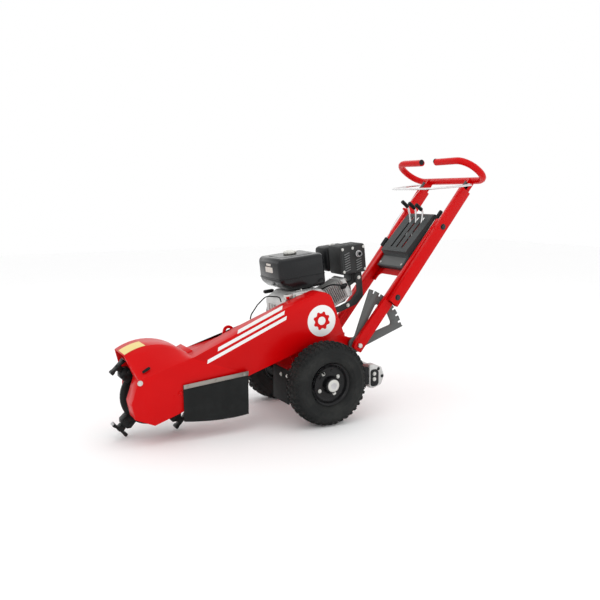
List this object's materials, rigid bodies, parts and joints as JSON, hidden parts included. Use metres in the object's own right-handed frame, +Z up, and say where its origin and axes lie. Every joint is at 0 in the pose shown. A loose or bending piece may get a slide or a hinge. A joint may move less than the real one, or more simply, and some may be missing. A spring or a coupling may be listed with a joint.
{
  "type": "stump grinder",
  "caption": "Pedestrian stump grinder: toothed cutter wheel under a hood, belt drive in a sheet cover, petrol engine over the axle, tilting handle with ring grip.",
  "frame": {"origin": "on the ground under the middle of the machine's box", "axes": "+X from the cutter to the handle, -Y to the belt side, +Z up"},
  "size_m": [1.5582, 0.556, 1.0426],
  "materials": {
    "red_paint": "glossy red powder coat",
    "bright_steel": "machined steel",
    "zinc_plate": "zinc plated",
    "silver_rod": "bright drawn wire",
    "cast_alloy": "die cast",
    "black_plastic": "matt black",
    "cutter_black": "black enamel",
    "muffler_grey": "heat resistant dark grey",
    "tank_black": "gloss black",
    "console_grey": "satin dark grey",
    "quadrant_grey": "satin grey",
    "strip_grey": "warm grey",
    "rubber_sheet": "black sheet rubber",
    "tyre_rubber": "black tread rubber",
    "rim_black": "satin black"
  },
  "bodies": {
    "chassis": {"left_frame_plate": "red_paint", "right_frame_plate": "red_paint", "engine_deck": "red_paint", "arm_top_plate": "red_paint", "cutter_hood": "red_paint", "belt_guard": "red_paint", "lifting_eye": "red_paint", "rear_cross_tube": "red_paint", "axle": "bright_steel", "cutter_bearing_left": "bright_steel", "cutter_bearing_right": "bright_steel", "handle_pivot_shaft": "zinc_plate", "engine_crankcase": "cast_alloy", "engine_cylinder": "cast_alloy", "left_brake_bracket": "cast_alloy", "right_brake_bracket": "cast_alloy", "air_cleaner": "black_plastic", "recoil_housing": "black_plastic", "oil_filler_plug": "black_plastic", "muffler": "muffler_grey", "exhaust_pipe": "muffler_grey", "cylinder_head_cover": "muffler_grey", "fuel_tank": "tank_black", "lock_quadrant": "quadrant_grey", "flap_clamp_strip": "strip_grey", "side_chip_flap": "rubber_sheet", "chip_curtain": "rubber_sheet", "drive_belt": "rubber_sheet", "throttle_cable": "rubber_sheet"},
    "left_wheel": {"left_tyre": "tyre_rubber", "left_rim": "rim_black"},
    "right_wheel": {"right_tyre": "tyre_rubber", "right_rim": "rim_black"},
    "cutter": {"cutter_shaft": "bright_steel", "cutter_disc": "cutter_black", "cutter_tooth_1": "cutter_black", "cutter_tooth_2": "cutter_black", "cutter_tooth_3": "cutter_black", "cutter_tooth_4": "cutter_black", "cutter_pulley": "bright_steel"},
    "crank": {"crankshaft": "bright_steel", "drive_pulley": "bright_steel"},
    "handle": {"left_lower_rail": "red_paint", "right_lower_rail": "red_paint", "left_upper_rail": "red_paint", "right_upper_rail": "red_paint", "ring_handlebar": "red_paint", "control_console": "console_grey", "handle_cross_plate": "red_paint", "lever_pin": "bright_steel"},
    "bail": {"stop_bail": "silver_rod"},
    "throttle_hand_lever": {"throttle_lever": "silver_rod"},
    "left_brake_hand_lever": {"left_brake_lever": "silver_rod"},
    "right_brake_hand_lever": {"right_brake_lever": "silver_rod"},
    "lock": {"lock_rod": "zinc_plate"},
    "left_brake": {"left_brake_block": "black_plastic"},
    "right_brake": {"right_brake_block": "black_plastic"},
    "tank_cap": {"fuel_cap": "zinc_plate"},
    "starter_grip": {"recoil_grip": "black_plastic"}
  },
  "joints": [
    {"name": "left_wheel_spin", "type": "hinge", "parent": "chassis", "child": "left_wheel", "pos_m": [0.01198, -0.22, 0.165], "axis": [0, 1, 0], "continuous": true},
    {"name": "right_wheel_spin", "type": "hinge", "parent": "chassis", "child": "right_wheel", "pos_m": [0.01198, 0.22, 0.165], "axis": [0, 1, 0], "continuous": true},
    {"name": "cutter_spin", "type": "hinge", "parent": "chassis", "child": "cutter", "pos_m": [-0.63202, -0.02, 0.152], "axis": [0, 1, 0], "continuous": true},
    {"name": "crank_spin", "type": "hinge", "parent": "chassis", "child": "crank", "pos_m": [0.01998, -0.124, 0.4], "axis": [0, 1, 0], "continuous": true},
    {"name": "handle_tilt", "type": "hinge", "parent": "chassis", "child": "handle", "pos_m": [0.21798, 0, 0.276], "axis": [0, 1, 0], "range_deg": [-16, 32]},
    {"name": "lock_lift", "type": "slide", "parent": "handle", "child": "lock", "axis": [-0.617, 0, -0.7869], "range_m": [0, 0.0115]},
    {"name": "bail_swing", "type": "hinge", "parent": "handle", "child": "bail", "pos_m": [0.73135, 0, 0.93073], "axis": [0, 1, 0], "range_deg": [0, 38], "stiffness_Nm_per_rad": 0.4},
    {"name": "throttle_lever_swing", "type": "hinge", "parent": "handle", "child": "throttle_hand_lever", "pos_m": [0.5559, -0.036, 0.69724], "axis": [0, -1, 0], "range_deg": [0, 45]},
    {"name": "left_brake_lever_swing", "type": "hinge", "parent": "handle", "child": "left_brake_hand_lever", "pos_m": [0.5559, 0.004, 0.69724], "axis": [0, -1, 0], "range_deg": [0, 45]},
    {"name": "right_brake_lever_swing", "type": "hinge", "parent": "handle", "child": "right_brake_hand_lever", "pos_m": [0.5559, 0.044, 0.69724], "axis": [0, -1, 0], "range_deg": [0, 45]},
    {"name": "left_brake_press", "type": "slide", "parent": "chassis", "child": "left_brake", "axis": [-1, 0, 0], "range_m": [0, 0.017]},
    {"name": "right_brake_press", "type": "slide", "parent": "chassis", "child": "right_brake", "axis": [-1, 0, 0], "range_m": [0, 0.017]},
    {"name": "tank_cap_turn", "type": "hinge", "parent": "chassis", "child": "tank_cap", "pos_m": [-0.0008, 0.072, 0.64557], "axis": [-0.1045, 0, 0.9945], "range_deg": [0, 90]},
    {"name": "starter_pull", "type": "slide", "parent": "chassis", "child": "starter_grip", "axis": [-0.9406, 0, 0.3395], "range_m": [0, 0.25], "stiffness_N_per_m": 20}
  ],
  "couplings": [
    {"joint": "crank_spin", "follows": "cutter_spin", "ratio": 1.2},
    {"joint": "left_brake_press", "follows": "left_brake_lever_swing", "m_per_rad": 0.0212},
    {"joint": "right_brake_press", "follows": "right_brake_lever_swing", "m_per_rad": 0.0212}
  ]
}
